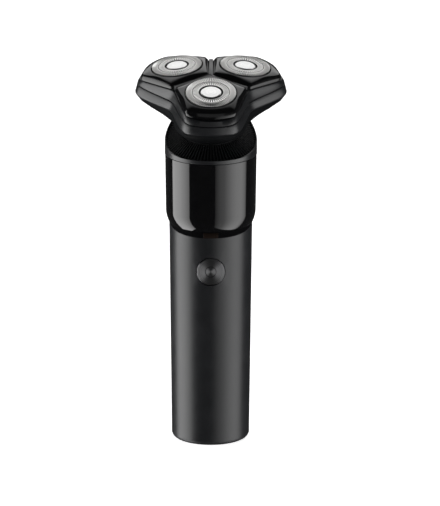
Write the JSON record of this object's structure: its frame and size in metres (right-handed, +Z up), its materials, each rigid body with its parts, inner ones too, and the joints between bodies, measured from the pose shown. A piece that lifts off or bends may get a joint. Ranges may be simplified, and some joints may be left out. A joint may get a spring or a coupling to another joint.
{
  "type": "electric shaver",
  "caption": "Cordless rotary shaver that stands on its base: round handle with a front button, gloss collar, ribbed neck and a leaning lobed head with slotted guards over turning cutters.",
  "frame": {"origin": "centre of the flat base, on the handle's axis", "axes": "+Z up the handle, -Y to the front where the button is, +X to the right seen from the front"},
  "size_m": [0.0686, 0.0617, 0.1759],
  "materials": {
    "handle_black": "fine matt coat",
    "gloss_black": "polished",
    "satin_black": "satin",
    "head_black": "satin",
    "cover_black": "polished",
    "ribbed_black": "moulded ribs",
    "button_metal": "spun",
    "guard_steel": "ground",
    "cap_steel": "polished",
    "blade_steel": "ground",
    "motor_steel": "plain",
    "rotor_iron": "plain",
    "screw_steel": "plain",
    "inner_plastic": "moulded",
    "gear_plastic": "moulded",
    "seal_rubber": "soft",
    "board_green": "board",
    "chip_black": "moulded",
    "cell_wrap": "shrink wrap",
    "tab_nickel": "nickel",
    "led_white": "clear",
    "window_smoke": "smoked",
    "contact_black": "moulded"
  },
  "bodies": {
    "handle": {"handle_shell": "handle_black", "base_cap": "handle_black", "usb_socket": "screw_steel", "usb_tongue": "contact_black", "main_board": "board_green", "board_chips": "chip_black", "indicator_led": "led_white", "tact_switch": "chip_black", "button_gasket": "seal_rubber", "battery_cell": "cell_wrap", "battery_tabs": "tab_nickel", "chassis": "inner_plastic", "chassis_screws": "screw_steel", "motor": "motor_steel", "motor_mount": "inner_plastic", "motor_screws": "screw_steel", "gloss_collar": "gloss_black", "indicator_window": "window_smoke", "collar_seal": "seal_rubber", "shoulder_rim": "satin_black", "ribbed_shoulder": "ribbed_black", "shaft_seal": "seal_rubber", "neck_spigot": "inner_plastic", "detent_ring": "screw_steel"},
    "button": {"power_button": "button_metal", "switch_plunger": "contact_black"},
    "drive": {"motor_shaft": "screw_steel", "motor_rotor": "rotor_iron", "drive_bit": "gear_plastic"},
    "head": {"head_base": "head_black", "head_frame": "head_black", "lobe_cover_front": "cover_black", "lobe_cover_right": "cover_black", "lobe_cover_left": "cover_black", "gear_deck": "inner_plastic", "deck_screws": "screw_steel", "retaining_plate": "inner_plastic"},
    "sun": {"sun_gear": "gear_plastic"},
    "guard_front": {"guard_front": "guard_steel", "guard_cap_front": "cap_steel"},
    "cutter_front": {"cutter_blades_front": "blade_steel", "cutter_hub_front": "gear_plastic"},
    "planet_front": {"planet_gear_front": "gear_plastic", "spindle_front": "gear_plastic", "spindle_spring_front": "screw_steel"},
    "guard_right": {"guard_right": "guard_steel", "guard_cap_right": "cap_steel"},
    "cutter_right": {"cutter_blades_right": "blade_steel", "cutter_hub_right": "gear_plastic"},
    "planet_right": {"planet_gear_right": "gear_plastic", "spindle_right": "gear_plastic", "spindle_spring_right": "screw_steel"},
    "guard_left": {"guard_left": "guard_steel", "guard_cap_left": "cap_steel"},
    "cutter_left": {"cutter_blades_left": "blade_steel", "cutter_hub_left": "gear_plastic"},
    "planet_left": {"planet_gear_left": "gear_plastic", "spindle_left": "gear_plastic", "spindle_spring_left": "screw_steel"}
  },
  "joints": [
    {"name": "button_press", "type": "slide", "parent": "handle", "child": "button", "axis": [0, 1, 0], "range_m": [0, 0.0008], "stiffness_N_per_m": 900},
    {"name": "drive_spin", "type": "hinge", "parent": "handle", "child": "drive", "pos_m": [0, 0, 0.12], "axis": [0, 0, 1], "continuous": true},
    {"name": "head_lift", "type": "slide", "parent": "handle", "child": "head", "axis": [0, -0.2079, 0.9781], "range_m": [0, 0.03]},
    {"name": "sun_spin", "type": "hinge", "parent": "head", "child": "sun", "pos_m": [0, -0.00549, 0.17212], "axis": [0, -0.2079, 0.9781], "continuous": true},
    {"name": "guard_float_front", "type": "slide", "parent": "head", "child": "guard_front", "axis": [0, 0.3338, -0.9426], "range_m": [0, 0.0015], "stiffness_N_per_m": 700},
    {"name": "cutter_spin_front", "type": "hinge", "parent": "guard_front", "child": "cutter_front", "pos_m": [0, -0.023, 0.1684], "axis": [0, -0.3338, 0.9426], "continuous": true},
    {"name": "planet_spin_front", "type": "hinge", "parent": "head", "child": "planet_front", "pos_m": [0, -0.02237, 0.16853], "axis": [0, -0.2079, 0.9781], "continuous": true},
    {"name": "guard_float_right", "type": "slide", "parent": "head", "child": "guard_right", "axis": [-0.113, 0.1423, -0.9833], "range_m": [0, 0.0015], "stiffness_N_per_m": 700},
    {"name": "cutter_spin_right", "type": "hinge", "parent": "guard_right", "child": "cutter_right", "pos_m": [0.0155, 0.00327, 0.17398], "axis": [0.113, -0.1423, 0.9833], "continuous": true},
    {"name": "planet_spin_right", "type": "hinge", "parent": "head", "child": "planet_right", "pos_m": [0.01495, 0.00295, 0.17392], "axis": [0, -0.2079, 0.9781], "continuous": true},
    {"name": "guard_float_left", "type": "slide", "parent": "head", "child": "guard_left", "axis": [0.113, 0.1423, -0.9833], "range_m": [0, 0.0015], "stiffness_N_per_m": 700},
    {"name": "cutter_spin_left", "type": "hinge", "parent": "guard_left", "child": "cutter_left", "pos_m": [-0.0155, 0.00327, 0.17398], "axis": [-0.113, -0.1423, 0.9833], "continuous": true},
    {"name": "planet_spin_left", "type": "hinge", "parent": "head", "child": "planet_left", "pos_m": [-0.01495, 0.00295, 0.17392], "axis": [0, -0.2079, 0.9781], "continuous": true}
  ],
  "couplings": [
    {"joint": "sun_spin", "follows": "drive_spin", "ratio": 1},
    {"joint": "cutter_spin_front", "follows": "drive_spin", "ratio": -0.51724},
    {"joint": "planet_spin_front", "follows": "drive_spin", "ratio": -0.51724},
    {"joint": "cutter_spin_right", "follows": "drive_spin", "ratio": -0.51724},
    {"joint": "planet_spin_right", "follows": "drive_spin", "ratio": -0.51724},
    {"joint": "cutter_spin_left", "follows": "drive_spin", "ratio": -0.51724},
    {"joint": "planet_spin_left", "follows": "drive_spin", "ratio": -0.51724}
  ]
}
